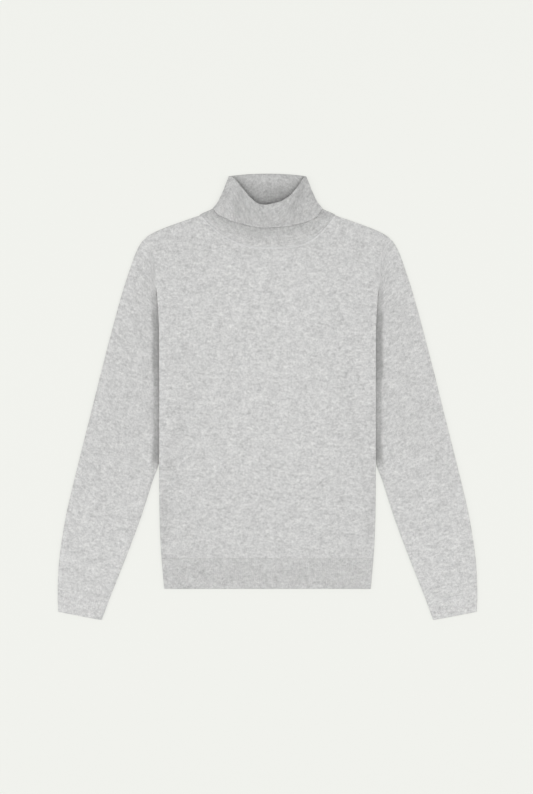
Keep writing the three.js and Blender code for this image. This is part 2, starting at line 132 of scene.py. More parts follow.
def throughRows(table, steps=40):
    # a curve through every row, with even tangents
    rows = np.stack([table["half"], table["up"]], -1).astype(float)
    padded = join(rows[:1], rows, rows[-1:])
    t = np.linspace(0, 1, steps, endpoint=False)[:, None]
    line = []
    for a, b, c, d in zip(padded, padded[1:], padded[2:], padded[3:]):
        v0, v1 = (c - a) / 2, (d - b) / 2
        line.append((2 * b - 2 * c + v0 + v1) * t**3 + (3 * c - 3 * b - 2 * v0 - v1) * t**2 + v0 * t + b)
    return PlanCurve(np.concatenate(line + [rows[-1:]]))


def toSegment(x, up, startX, startUp, endX, endUp):
    # the share along a segment of its nearest place, and the distance from there
    dx, dy = endX - startX, endUp - startUp
    t = np.clip(((x - startX) * dx + (up - startUp) * dy) / (dx * dx + dy * dy), 0, 1)
    return t, np.hypot(x - startX - t * dx, up - startUp - t * dy)


def distanceToLine(line, x, up):
    x, up = np.broadcast_arrays(x, up)
    nearest = np.full(x.shape, np.inf)
    for start, end in zip(line[:-1], line[1:]):
        nearest = np.minimum(nearest, toSegment(x, up, *start, *end)[1])
    return nearest


def closing(distance, halfHeight):
    # near a fold the two layers close along a quarter of an ellipse
    reach = np.clip(halfHeight**2 / cloth["tightestBend"], halfHeight, cloth["widestBend"])
    left = 1 - np.minimum(distance, reach) / reach
    return np.sqrt(1 - left * left)


def cosineEnd(share, length):
    fold, reach = cloth["foldShare"], cloth["foldSampling"]
    flat = share / (1 - fold) * (length - reach)
    turned = length - reach * (1 - np.cos((1 - share) / fold * math.pi / 2))
    return np.where(share <= 1 - fold, flat, turned)


def creaseRise(creases, x, up):
    # soft troughs and ridges, each a row from one place to another
    rise = np.zeros(np.broadcast(x, up).shape)
    columns = [creases[k] for k in ("x", "up", "toX", "toUp", "width", "rise")]
    for *ends, width, height in zip(*columns):
        t, distance = toSegment(x, up, *ends)
        uneven = 0.8 + 0.2 * np.sin(t * 7 + ends[0])
        rise += height * uneven * np.exp(-((distance / width) ** 2))
    return rise


# Meshes


def addObject(name, data):
    added = bpy.data.objects.new(name, data)
    bpy.context.scene.collection.objects.link(added)
    return added


def newMesh(name, points, edges, faces):
    mesh = bpy.data.meshes.new(name)
    mesh.from_pydata(points, edges, faces)
    return mesh


def smoothFaces(mesh):
    mesh.polygons.foreach_set("use_smooth", np.ones(len(mesh.polygons), bool))


def gridNormals(grid, ring):
    across = np.roll(grid, -1, 1) - np.roll(grid, 1, 1) if ring else np.gradient(grid, axis=1)
    return unit(np.cross(across, np.gradient(grid, axis=0)))


def rimProfile(distance, radius):
    # share of the full thickness at a distance from an edge
    left = 1 - np.clip(distance / radius, 0, 1)
    return np.maximum(np.sqrt(1 - left * left), cloth["rimLeast"])


def edgedShares(count, length, startRim, endRim):
    # even shares, with extra ones where the two edges round off, and the thickness at each
    near = np.array([0, 0.12, 0.4, 1])
    start, end = near * startRim / length, 1 - near[::-1] * endRim / length
    shares = join(start, np.linspace(start[-1], end[0], count + 1)[1:-1], end)
    profile = rimProfile(shares * length, startRim) * rimProfile((1 - shares) * length, endRim)
    return shares, profile


def toMetres(points):
    moved = np.array(points, float)
    moved[..., 1] -= cloth["originUp"]
    return moved * millimetre


def wallMesh(name, middle, thickness, knit, ring=False, fields=None):
    # a wall on a grid of middle points; knit is its (u, v) in millimetres, with one column more on a ring
    rows, columns = middle.shape[:2]
    normal = gridNormals(middle, ring)
    half = halfWall * np.broadcast_to(np.reshape(thickness, (-1, 1)), (rows, columns))[..., None]
    points = join((middle + normal * half).reshape(-1, 3), (middle - normal * half).reshape(-1, 3))
    wide, column, row = knit.shape[1], np.arange(columns if ring else columns - 1), np.arange(rows - 1)[:, None]

    def corners(rowsAt, columnsAt, layers, width):
        places = spread(*[r * width + c for r, c in zip(rowsAt, columnsAt)])
        return places.reshape(-1, 4) + np.array(layers) * (rows * width)

    quads = [  # rows, whether a corner is on the next column, layers
        ((row, row, row + 1, row + 1), (0, 1, 1, 0), (0, 0, 0, 0)),
        ((row + 1, row + 1, row, row), (0, 1, 1, 0), (1, 1, 1, 1)),
        ((0, 0, 0, 0), (1, 0, 0, 1), (0, 0, 1, 1)),
        ((rows - 1,) * 4, (0, 1, 1, 0), (0, 0, 1, 1)),
    ]
    quads = [(rowsAt, [column + e for e in ends], layers) for rowsAt, ends, layers in quads]
    if not ring:
        side, last = row[:, 0], columns - 1
        quads.append(((side, side + 1, side + 1, side), (0,) * 4, (0, 0, 1, 1)))
        quads.append(((side + 1, side, side, side + 1), (last,) * 4, (0, 0, 1, 1)))
    faces = np.concatenate([corners(r, [c % columns for c in at], layers, columns) for r, at, layers in quads])
    knitAt = np.concatenate([corners(r, at, (0,) * 4, wide) for r, at, _ in quads])
    mesh = newMesh(name, toMetres(points).tolist(), [], faces.tolist())
    places = knit.reshape(-1, 2)[knitAt.reshape(-1)] * millimetre
    mesh.uv_layers.new(name="knit").data.foreach_set("uv", places.astype(np.float32).ravel())
    # every wall gets a tone field, the painted shade and light that scales its colour, 1 where none is painted
    for field, (outer, inner) in ({"tone": (1, 1)} | (fields or {})).items():
        values = np.concatenate([np.broadcast_to(v, (rows, columns)).reshape(-1) for v in (outer, inner)])
        mesh.attributes.new(field, "FLOAT", "POINT").data.foreach_set("value", values.astype(np.float32))
    smoothFaces(mesh)
    mesh.set_sharp_from_angle(angle=math.radians(cloth["sharpAngle"]))
    return addObject(name, mesh)


def evenColumns(ringAt, low, high, count, closed):
    # places round a section, the same length of cloth apart
    dense = np.linspace(low, high, 3001)
    line = ringAt(dense)
    length = join([0], np.cumsum(np.linalg.norm(np.diff(line, axis=0), axis=1)))
    wanted = np.linspace(0, length[-1], count + 1)
    return np.interp(wanted[:-1] if closed else wanted, length, dense), length[-1]


# Body

body = {
    "underarmUp": 517,
    "shoulderTipUp": 593.3,
    "shoulderTipAcross": 211.5,
    "neckPointUp": 635.8,
    "neckHalf": 114,
    "frontNeckDrop": 56.4,
    "backNeckDrop": 8,
    "hemRibUp": 52,
    "lift": 4.3,  # over the parts of the sleeves that lie under the body
    "liftFrom": 36,  # inside the hidden sleeve's edge
    "liftTo": 7,
    "air": 0.4,
    "sideAir": 1.7,
    "sideAirFrom": (110, 175),
    "liftStart": (150, 190),
    "liftEnd": 486,
    "shoulderAirUp": (560, 615),
    "shoulderAirFrom": (60, 110),
    "hemAir": 0.75,  # share of the air that is left at the hem
    "hemAirTo": (30, 110),
    "creaseInset": (3, 16),  # creases start this far from a fold
    "creaseStart": (40, 70),
    "neckBow": (2.3, 3.4),  # how full the neckline hangs, on the picture's left and right
    "bowEnd": 0.4,
    "frontReach": 0.45,
    "backTaper": 8,
    "underarmReach": 0.3,
    "seamStart": (484, 512),  # heights over which the upper layers flatten towards the underarm
    "fullness": 0.3,
    "waves": 0.12,
    # painted shade and light on the front's colour: troughs darken by each millimetre of depth; the rest are parts
    # taken off or multipliers, and where they end
    "shade": {
        "trough": 0.05,
        "deepest": 0.3,
        "neck": 0.03,
        "neckTo": 22,
        "neckAcross": (55, 100),
        "side": 0.03,
        "sideTo": (8, 30),
        "sideUp": (170, 260),
        "low": 0.982,
        "lowUp": (120, 240),
        "top": 0.975,
        "topUp": (530, 600),
        "aside": 0.985,
        "asideFrom": (40, 170),
    },
    "columns": 130,
    "rows": 210,
    "side": {
        "up": (0, 24, 52, 83, 150, 440, 474, 508, 517),
        "half": (176, 178, 180.5, 182.5, 184.2, 184.6, 186.2, 188.6, 190.9),
    },
    "armhole": {
        "up": (517, 542, 562.7, 579.7, 593.3),
        "half": (190.9, 191.3, 193.8, 199.8, 211.5),
    },
    "shoulder": {
        "half": (114, 138.6, 184.5, 204, 211.5),
        "up": (635.8, 627.3, 610.3, 600, 593.3),
    },
}
sleeve = {
    "air": 3.2,
    "cuffAir": 1.5,
    "pressedAir": 0.1,
    "seamSwing": 8,
    "fullness": 0.2,
    "waves": 0.16,
    "closer": (0.75, 1.2),  # how far the inner fold moves to the body at the underarm
    "closerUp": (505, 514),
    "closerBelow": 0.8,
    "belowStart": (470, 479),
    "belowEnd": (490, 506),
    "closerReach": 8,
    "bowEnd": 0.22,  # share of the length by which sections no longer follow the armhole
    "airFromSeam": (5, 80),
    "cuffAirTo": (-20, 70),
    "pressedTo": (470, 508),
    "valleyWidth": 8,
    "valleySlope": 9,
    "valleyLength": 80,
    "creaseInset": (4, 18),
    "creaseBeside": (10, 22),
    "waveShift": 300,
    # painted shade beside the body, along the underarm crease and in troughs, and painted light towards the cuff
    "shade": {
        "valley": 0.33,
        "valleyWidth": (8, 13.5),
        "valleyTaper": 50,
        "valleyStart": (200, 226),
        "valleyEnd": (462, 495),
        "crease": 0.16,
        "creaseHalf": 193,
        "creaseWidth": 4,
        "creaseStart": (476, 488),
        "creaseEnd": (500, 514),
        "top": 0.96,
        "cuff": 1.015,
        "cuffTo": (10, 330),
    },
    "columns": 96,
    "rows": 230,
    "outer": {
        "half": (211.5, 222, 234.6, 250.8, 278, 303.5, 329, 344.3, 354.5, 357, 356),
        "up": (593.3, 576, 542, 491, 389, 287, 185, 117, 49, 0, -39),
    },
    "inner": {
        "half": (191.6, 189.2, 187.9, 187.1, 182, 172, 163, 163, 170, 184, 194.7, 216.8, 242.3, 269.5, 282.2),
        "up": (516.7, 508, 492, 480, 468, 447, 400, 330, 275, 215, 185, 117, 49, -19, -53.2),
    },
}
# Creases of the front, for the picture's left half; the same rows, a little changed, serve the right half.
frontCreases = {
    "x": (-127, -155, -167, -60, -150, -118),
    "up": (335, 268, 200, 470, 560, 150),
    "toX": (-155, -167, -178, -20, -120, -70),
    "toUp": (268, 200, 100, 300, 520, 90),
    "width": (9, 9, 8, 22, 16, 18),
    "rise": (-0.7, -0.9, -0.7, 0.25, -0.25, 0.2),
}
sleeveCreases = {
    "x": (196, 226, 262, 322, 250, 300),
    "up": (470, 118, 122, 30, 410, 220),
    "toX": (214, 244, 310, 334, 270, 312),
    "toUp": (430, 104, 104, 8, 330, 180),
    "width": (9, 9, 12, 10, 14, 12),
    "rise": (-0.4, -0.6, -0.35, -0.5, 0.3, -0.3),
}


def otherHalf(creases, across=0.96, height=0.85):
    flipped = {k: tuple(-across * v for v in creases[k]) for k in ("x", "toX")}
    flipped["rise"] = tuple(height * v for v in creases["rise"])
    return {k: creases[k] + flipped.get(k, creases[k]) for k in creases}


bodyCreases = otherHalf(frontCreases)
shoulderInset = halfWall + 0.06
armholeCurve = throughRows(body["armhole"])
armholeLine = armholeCurve.spaced(32)
innerCurve = throughRows(sleeve["inner"]).offset(halfWall)
outerCurve = throughRows(sleeve["outer"]).offset(-halfWall)
sleeveFoldLines = [innerCurve.spaced(90), outerCurve.spaced(60)]


def sideHalf(up):
    return readTable(body["side"], "up", "half", up)


def shoulderUp(half):
    return readTable(body["shoulder"], "half", "up", half) - shoulderInset


def frontNeckUp(share):
    bow = lerp(*body["neckBow"], smooth(share, 0, body["bowEnd"]))
    return body["neckPointUp"] - 1 - (body["frontNeckDrop"] - 1) * (1 - np.abs(share) ** bow)


def backNeckUp(share):
    return body["neckPointUp"] - 1 - (body["backNeckDrop"] - 1) * (1 - share * share)


sideUps = np.linspace(0, body["underarmUp"], 41)
sideFold = np.stack([sideHalf(sideUps) - halfWall, sideUps], -1)
shoulderHalves = np.linspace(body["neckHalf"], body["shoulderTipAcross"] - 0.5, 21)
shoulderFold = np.stack([shoulderHalves, shoulderUp(shoulderHalves)], -1)


def liftAt(half, up):
    along = smooth(up, *body["liftStart"]) * (1 - smooth(up, body["liftEnd"], body["underarmUp"]))
    edge = readTable(sleeve["inner"], "up", "half", up)
    return body["lift"] * smooth(half, edge - body["liftFrom"], edge - body["liftTo"]) * along


def bodyAirAt(half, up):
    nearShoulder = smooth(up, *body["shoulderAirUp"]) * smooth(half, *body["shoulderAirFrom"])
    pressedHem = lerp(body["hemAir"], 1, smooth(up, *body["hemAirTo"]))
    near = np.maximum(smooth(half, *body["sideAirFrom"]), nearShoulder)
    return body["air"] + (body["sideAir"] - body["air"]) * near * pressedHem


def clothWaves(x, up):
    # the long low waves that cloth keeps when it is smoothed out by hand
    return (
        np.sin(x / 41 + up / 97) * np.sin(up / 63 - x / 170)
        + 0.7 * np.sin(x / 23 - up / 58 + 1.3) * np.sin(up / 88 + 0.4)
    )


def underarmSeam(up, layer):
    # just below the underarm the upper layers run flat into the seam, as they do above it
    return smooth(up, *body["seamStart"]) * (np.asarray(layer) > 0)


def bodyPoint(x, up, layer):
    half = np.abs(x)
    halfHeight = (cloth["layerStep"] + bodyAirAt(half, up)) / 2
    middle = liftAt(half, up) + halfWall + halfHeight
    fromSide, fromShoulder = distanceToLine(sideFold, half, up), distanceToLine(shoulderFold, half, up)
    closed = lerp(closing(fromSide, halfHeight), 1, underarmSeam(up, layer))
    closed = np.minimum(closed, closing(fromShoulder, halfHeight))
    z = middle + layer * (halfGap + (halfHeight - halfGap) * closed)
    if layer > 0:
        inside = smooth(np.minimum(fromSide, fromShoulder), *body["creaseInset"]) * smooth(up, *body["creaseStart"])
        creased = creaseRise(bodyCreases, x, up)
        z = z + inside * (body["fullness"] + creased + body["waves"] * clothWaves(x, up))
    return spread(x, up, z)


panelTopHalf = body["shoulderTipAcross"] - halfGap
panelTopEdgeUp = float(shoulderUp(panelTopHalf))
panelStart = body["hemRibUp"] + halfGap


def panelEdgeHalf(up, layer):
    underarm = body["underarmUp"]
    armhole = np.interp(up, armholeLine[:, 1], armholeLine[:, 0])
    if layer > 0:  # the front reaches the sleeve where that swings away to its fold
        swing = np.clip(1 - (up - underarm) / sleeve["seamSwing"], 0, 1) ** 2
        above = armhole - halfGap + body["frontReach"] * swing
    else:
        above = armhole - lerp(halfWall, halfGap, smooth(up, underarm, underarm + body["backTaper"]))
    below = sideHalf(up) - lerp(halfWall, -body["underarmReach"], underarmSeam(up, layer))
    return np.where(up <= underarm, below, above)


def panelGrid(columns, rows, layer):
    # columns run from -1 to 1 across a panel, rows from 0 at the hem rib to 1 at the shoulders
    column, row = columns[None, :], rows[:, None]
    height = panelTopEdgeUp - panelStart
    edgeUp = panelStart + cosineEnd(row, height)
    half = cosineEnd(np.abs(column), panelEdgeHalf(edgeUp, layer))
    topHalf = cosineEnd(np.abs(column), panelTopHalf)
    share = np.minimum(topHalf / body["neckHalf"], 1) * np.sign(column)
    neck = (frontNeckUp(share) if layer > 0 else backNeckUp(share)) - cloth["seamGap"] * 0.7
    topUp = np.where(topHalf > body["neckHalf"] - 0.01, shoulderUp(topHalf), neck)
    up = edgeUp + (topUp - panelTopEdgeUp) * ((edgeUp - panelStart) / height) ** 2
    return bodyPoint(np.sign(column) * half, up, layer)


def panelShares(count, ends=7):
    flat = 1 - cloth["foldShare"]
    return join(np.linspace(0, flat, count + 1), np.linspace(flat, 1, ends + 1)[1:])


def frontPaintedShading(x, up):
    # painted shade in troughs, under the collar and along the lower sides, and painted light that leaves the front a
    # little darker at the bottom, at the top and towards the sides
    shade, half = body["shade"], np.abs(x)
    paintedTroughShade = 1 + shade["trough"] * np.minimum(creaseRise(bodyCreases, x, up), shade["deepest"])
    belowNeck = frontNeckUp(np.clip(x / body["neckHalf"], -1, 1)) - up
    neck = 1 - shade["neck"] * (1 - smooth(belowNeck, 0, shade["neckTo"])) * (1 - smooth(half, *shade["neckAcross"]))
    beside = 1 - smooth(sideHalf(up) - half, *shade["sideTo"])
    low = 1 - shade["side"] * beside * (1 - smooth(up, *shade["sideUp"]))
    paintedFalloff = lerp(shade["low"], 1, smooth(up, *shade["lowUp"])) * lerp(1, shade["top"], smooth(up, *shade["topUp"]))
    return paintedTroughShade * neck * low * paintedFalloff * lerp(1, shade["aside"], smooth(half, *shade["asideFrom"]))


def makePanel(name, layer, shift):
    columns = panelShares(body["columns"] // 2)
    columns = join(-columns[:0:-1], columns)
    rows, thickness = panelShares(body["rows"]), np.ones(body["rows"] + 8)
    grid = panelGrid(columns, rows, layer)
    knit = grid[..., :2] + np.array(shift)
    # only the front's colour carries painted shade and light
    tone = frontPaintedShading(grid[..., 0], grid[..., 1]) if layer > 0 else 1
    return wallMesh(name, grid, thickness, knit, fields={"tone": (tone, 1)})


frontPanel = makePanel("frontPanel", 1, (0, 0))
backPanel = makePanel("backPanel", -1, (900, 130))
print("panels made")

# Hem rib

hemRib = {"ribs": 110, "stepsPerRib": 6, "rows": 9, "relief": 0.5}
ribEnds = {"offFloor": (1.2, 2.2), "fromJoin": (0.3, 5), "fromEnd": (0.5, 1.5)}  # the last is counted in ribs


def hemGrid(columns, rows, layer):
    up = rows[:, None] * (body["hemRibUp"] - halfGap)
    x = columns[None, :]
    x = np.sign(x) * cosineEnd(np.abs(x), sideHalf(up) - halfWall)
    return bodyPoint(x, up + 0 * x, layer)


def ribFields(z, phase, endFade, fromJoin):
    # ribs fade where a wall lies flat on the floor, at the ends of a strip and towards a join
    strength = smooth(z, *ribEnds["offFloor"]) * endFade * smooth(fromJoin, *ribEnds["fromJoin"])
    return {"ribPhase": (phase, phase), "ribStrength": (strength, -strength)}


def makeHem(name, layer, shift):
    rows, thickness = edgedShares(hemRib["rows"], body["hemRibUp"], cloth["freeRim"], cloth["seamRim"])
    section = lambda columns: hemGrid(columns, np.array([0.5]), layer)[0]
    columns, width = evenColumns(section, -1, 1, hemRib["ribs"] * hemRib["stepsPerRib"], False)
    grid = hemGrid(columns, rows, layer)
    phase = np.arange(len(columns)) / hemRib["stepsPerRib"] + 0.5
    endFade = smooth(np.minimum(phase, phase[::-1]), *ribEnds["fromEnd"])[None, :]
    pitch = width / hemRib["ribs"]
    knit = spread((phase[None, :] + 0.25) * pitch + shift[0], grid[..., 1] + shift[1])
    fields = ribFields(grid[..., 2], phase[None, :], endFade, body["hemRibUp"] - grid[..., 1])
    return wallMesh(name, grid, thickness, knit, fields=fields)


hemRibFront = makeHem("hemRibFront", 1, (1800, 0))
hemRibBack = makeHem("hemRibBack", -1, (2700, 40))

# Sleeves and cuffs

cuff = {"length": 38, "ribs": 46, "stepsPerRib": 6, "rows": 8, "relief": 0.5}
innerCuffShare = 1 - cuff["length"] / innerCurve.length
outerCuffShare = 1 - cuff["length"] / outerCurve.length


def sleeveAirAt(half, up):
    away = smooth(distanceToLine(armholeLine, half, up), *sleeve["airFromSeam"])
    full = lerp(lerp(body["sideAir"], sleeve["air"], away), sleeve["cuffAir"], 1 - smooth(up, *sleeve["cuffAirTo"]))
    beside = half - sideHalf(up)
    valley = sleeve["valleyWidth"] * np.clip((body["underarmUp"] - up) / sleeve["valleyLength"], 0, 1)
    pressed = (1 - smooth(up, *sleeve["pressedTo"])) * (1 - smooth(beside, valley, valley + sleeve["valleySlope"]))
    return lerp(full, sleeve["pressedAir"], pressed)


def sleevePoint(half, up, layer):
    halfHeight = (cloth["layerStep"] + sleeveAirAt(half, up)) / 2
    inner, outer = [distanceToLine(line, half, up) for line in sleeveFoldLines]
    closed = lerp(closing(inner, halfHeight), 1, underarmSeam(up, layer))
    z = halfWall + halfHeight * (1 + layer * np.minimum(closed, closing(outer, halfHeight)))
    free = smooth(np.minimum(inner, outer), *sleeve["creaseInset"])
    free = free * smooth(half - sideHalf(up), *sleeve["creaseBeside"]) * (layer > 0)
    waves = sleeve["waves"] * clothWaves(half + sleeve["waveShift"], up)
    return spread(half, up, z + free * (sleeve["fullness"] + creaseRise(sleeveCreases, half, up) + waves))


def armholeSection(across, inner, outer):
    # the first section follows the armhole, and its two ends swing into the folds
    seam, tangent = armholeCurve.place(across), armholeCurve.tangent(across)
    gap = halfGap * (1 + 2 * across**8)
    aside = spread(tangent[..., 1] * gap, -tangent[..., 0] * gap)
    place = seam + aside
    for share, fold, end in ((across, inner, 0), (1 - across, outer, 1)):
        near = np.maximum(0, 1 - share * armholeCurve.length / sleeve["seamSwing"])[..., None] ** 2
        place = place + (fold - armholeCurve.place(end)) * near
    return place


def turnPlace(turn, width):
    # turn runs once round a flattened tube from 0 to 6, the upper layer from 0 to 3
    turned = np.mod(turn, 6)
    layer = np.where(turned <= 3, 1, -1)
    step = np.where(turned <= 3, turned, 6 - turned)
    reach = np.minimum(cloth["foldSampling"], width * 0.2)
    across = reach + np.clip(step - 1, 0, 1) * (width - 2 * reach)
    across = np.where(step < 1, reach * (1 - np.cos(step * math.pi / 2)), across)
    across = np.where(step > 2, width - reach * (1 - np.cos((3 - step) * math.pi / 2)), across)
    return layer, across / width


def tubeGrid(turns, innerShare, outerShare, along):
    # along runs from 0 at the armhole; it only bends the first sections round the armhole
    inner, outer = innerCurve.place(innerShare)[:, None, :], outerCurve.place(outerShare)[:, None, :]
    width = np.linalg.norm(outer - inner, axis=-1)
    layer, across = turnPlace(turns[None, :], width)
    first, last = innerCurve.place(0), outerCurve.place(0)
    bow = (1 - smooth(along, 0, sleeve["bowEnd"]))[:, None, None]
    section = armholeSection(across, first, last)
    place = lerp(inner, outer, across[..., None]) + (section - lerp(first, last, across[..., None])) * bow
    half, up = place[..., 0], place[..., 1]
    closer = lerp(*sleeve["closer"], smooth(up, *sleeve["closerUp"])) * underarmSeam(up, layer)
    below = sleeve["closerBelow"] * smooth(up, *sleeve["belowStart"]) * (1 - smooth(up, *sleeve["belowEnd"]))
    # the fold meets the body at the underarm
    half = half - (closer + below) * (1 - smooth(across * width, 0, sleeve["closerReach"]))
    upper, lower = sleevePoint(half, up, 1), sleevePoint(half, up, -1)
    return np.where((layer > 0)[..., None], upper, lower), (across - 0.5) * width


def bothSleeves(name, grid, thickness, acrossAt, alongAt, shift, fields):
    # rows run from the cuff up, so that the wall's outer face looks out of the tube
    grid, thickness, alongAt, acrossAt = grid[::-1], thickness[::-1], alongAt[::-1], acrossAt[::-1]
    fields = {k: tuple(np.broadcast_to(v, grid.shape[:2])[::-1] for v in pair) for k, pair in fields.items()}
    pieces = []
    for side, sign in sides.items():
        knit = spread(acrossAt + shift[0], alongAt[:, None] + shift[1] * sign)
        points = grid * np.array([sign, 1, 1])
        if sign < 0:  # mirrored columns run the other way round, so that the faces still look out
            points, knit = points[:, ::-1], knit[:, ::-1]
            fields = {k: tuple(v[:, ::-1] for v in pair) for k, pair in fields.items()}
        pieces.append(wallMesh(name + side, points, thickness, knit, ring=True, fields=fields))
    return pieces


def foldTurns(flat, ends=7):
    parts = [np.linspace(0, 1, ends + 1), np.linspace(1, 2, flat + 1)[1:], np.linspace(2, 3, ends + 1)[1:]]
    upper = np.concatenate(parts)
    return join(upper, 3 + upper[1:-1])


def sleevePaintedShading(grid, turns):
    # painted shade in the strip of the upper layer beside the body, along the crease at the underarm and in troughs,
    # and painted light that makes the sleeve paler towards the cuff
    half, up, shade = grid[..., 0], grid[..., 1], sleeve["shade"]
    beside = half - sideHalf(up)
    uneven = 1 + 0.18 * np.sin(up / 19) * np.sin(up / 47)
    wide = np.clip((body["underarmUp"] - up) / shade["valleyTaper"], 0.12, 1) * uneven
    paintedValleyShade = 1 - smooth(beside, *[reach * wide for reach in shade["valleyWidth"]])
    paintedValleyShade = paintedValleyShade * (1 - smooth(up, *shade["valleyEnd"])) * smooth(up, *shade["valleyStart"])
    paintedValleyShade = paintedValleyShade * (1 + 0.2 * np.sin(up / 31 + 1))
    depth = np.minimum(creaseRise(sleeveCreases, half, up), body["shade"]["deepest"])
    paintedPaleness = lerp(shade["top"], shade["cuff"], 1 - smooth(up, *shade["cuffTo"]))
    crease = np.exp(-(((half - shade["creaseHalf"]) / shade["creaseWidth"]) ** 2))
    crease = crease * smooth(up, *shade["creaseStart"]) * (1 - smooth(up, *shade["creaseEnd"]))
    upper = np.where(np.mod(turns, 6) <= 3, 1, 0)
    dark = upper * (shade["valley"] * paintedValleyShade + shade["crease"] * crease)
    return (1 - dark) * (1 + body["shade"]["trough"] * depth) * paintedPaleness


def makeSleeves():
    along, thickness = edgedShares(sleeve["rows"], innerCurve.length, cloth["seamRim"], 0.02)
    inner = lerp(along**1.35, along, smooth(along, 0, 0.6)) * innerCuffShare
    turns = foldTurns(sleeve["columns"] // 2)
    toJoin = 1 + 0.1 / innerCurve.length
    grid, acrossAt = tubeGrid(turns, inner * toJoin, along * outerCuffShare * toJoin, along)
    acrossAt = np.concatenate([acrossAt, acrossAt[:, :1]], 1)
    # the outer face's colour carries the painted shade and light
    fields = {"tone": (sleevePaintedShading(grid, turns), 1)}
    return bothSleeves("sleeve", grid, thickness, acrossAt, -along * innerCurve.length, (3600, 250), fields)


def makeCuffs():
    rows, thickness = edgedShares(cuff["rows"], cuff["length"], 0.02, cloth["freeRim"])
    share = lerp(0.2 / cuff["length"], 1, rows)
    one = np.ones(1)
    section = lambda turns: tubeGrid(turns, (innerCuffShare + 1) / 2 * one, (outerCuffShare + 1) / 2 * one, one)[0][0]
    steps = cuff["ribs"] * cuff["stepsPerRib"]
    turns, girth = evenColumns(section, 0, 6, steps, True)
    grid, _ = tubeGrid(turns, lerp(innerCuffShare, 1, share), lerp(outerCuffShare, 1, share), np.ones(len(share)))
    phase = np.arange(steps + 1) / cuff["stepsPerRib"]
    acrossAt = (phase[None, :] + 0.25) * girth / cuff["ribs"]
    fields = ribFields(grid[..., 2], phase[None, :-1], 1, share[:, None] * cuff["length"])
    return bothSleeves("cuff", grid, thickness, acrossAt, -share * cuff["length"], (4500, 60), fields)


sleeveLeft, sleeveRight = makeSleeves()
cuffLeft, cuffRight = makeCuffs()
print("sleeves and cuffs made")

# Roll collar

collar = {
    "cornerUp": 702,
    "cornerHalf": 66,
    "backUp": 706.4,
    # painted shade and light on the collar's colour
    "shade": {
        "hollow": 0.45,  # painted shade: how far the neck's inside darkens under the front fold
        "reach": (40, 22),  # in the middle and at the sides
        "reachAside": (15, 60),
        "falloff": 1.35,  # how much faster it fades at the sides
        "falloffAside": (15, 40),
        "paler": 0.25,
        "palerAside": (25, 60),
        "inside": 1.015,
        # painted shade on the stand, darkest just under the roll's free edge
        "foot": (0.93, 1.09),
        "footReach": 27,
        "roll": (0.979, 0.085, 0.036),  # in the middle, and more at the picture's left and right
        "rollLeft": (48, 62),
        "rollRight": (60, 75),
        # a painted highlight along the roll's free edge
        "edge": 0.05,
        "trough": 0.1,
        "deepest": 0.5,
    },
    "knitPitch": 3.2,
    "knitShift": 5400,
    "standRise": (618, 643),
    "backFreeEdgeUp": 646.5,
    "backStandZ": 3.3,
    "frontStandZ": 6.2,
    "frontRise": 8,
    "rollStep": 2.4,
    "rollFlare": 0.8,
    "flareStart": 0.65,
    "creaseInset": (3, 12),
    "creaseStart": 0.15,
    "sideRiseTo": 645,
    "sideStep": 2.6,
    "ribs": 118,
    "stepsPerRib": 5,
    "standRows": 30,
    "standLength": 70,
    "bendRows": 7,
    "rollRows": 28,
    "rollLength": 45,
    "relief": 0.42,
    "side": {
        "up": (702, 691, 678, 668, 659, 650, 646.5),
        "half": (66, 70.5, 75.5, 80, 84.5, 91, 94.2),
    },
    # shares of the half width, from the picture's left to its right
    "frontFold": {
        "share": (-1, -0.88, -0.76, -0.6, -0.45, -0.3, -0.2, -0.05, 0.1)
        + (0.25, 0.4, 0.5, 0.63, 0.71, 0.79, 0.88, 1),
        "up": (702, 697.5, 687.7, 675.5, 664.6, 656.3, 653.7, 652.5, 654.1)
        + (656.4, 659.8, 663.8, 670.1, 676.3, 682, 690.3, 702),
    },
    "frontFreeEdge": {
        "share": (-1, -0.9, -0.77, -0.64, -0.48, -0.27, -0.05, 0.2, 0.4, 0.5, 0.6, 0.7, 0.8, 0.9, 1),
        "up": (646.5, 636, 630.5, 624.8, 621, 615.8, 613.7, 615, 616.6, 619, 621, 623.6, 627.5, 633, 646.5),
    },
}
rollCreases = {
    "x": (62, -60, -56, 88, -20, 28, -34, 72),
    "up": (686, 679, 658, 639, 640, 648, 655, 673),
    "toX": (41, -75, -52, 97, 16, 38, -14, 73),
    "toUp": (644, 663, 640, 629, 646, 640, 646, 670),
    "width": (7, 6, 8, 4, 7, 7, 6, 4),
    "rise": (-1.1, -0.8, -0.8, -0.9, 0.5, 0.4, 0.5, -0.7),
}
standCreases = {
    "x": (-44, 60),
    "up": (612, 612),
    "toX": (-12, 84),
    "toUp": (597, 618),
    "width": (5, 5),
    "rise": (-0.5, -0.35),
}
foldGap = halfWall + collar["rollStep"] / 2
sideRows = {k: np.array(v, float) for k, v in collar["side"].items()}
standFoot = {"up": (body["neckPointUp"], 640, 643.5), "half": (body["neckHalf"] + halfWall, 104.5, 96.5)}
standInset = {"up": 0, "half": collar["sideStep"]}
standSide = {k: join(standFoot[k], sideRows[k][::-1] - standInset[k]) for k in sideRows}


def foldUp(share, front):
    back = collar["cornerUp"] + (collar["backUp"] - collar["cornerUp"]) * (1 - share * share)
    return np.where(front, readTable(collar["frontFold"], "share", "up", share), back) - foldGap


def collarZ(share, up, front):
    behind = lerp(halfWall, collar["backStandZ"], smooth(up, backNeckUp(share), collar["backFreeEdgeUp"]))
    base = lerp(halfWall + cloth["layerStep"] + body["air"], collar["frontStandZ"], smooth(up, *collar["standRise"]))
    foot = frontNeckUp(share)
    climbed = np.clip((up - foot) / (foldUp(share, True) - foot), 0, 1.1)
    ahead = base + collar["frontRise"] * (1 - share * share) * climbed**1.6
    return np.where(front, ahead, behind)


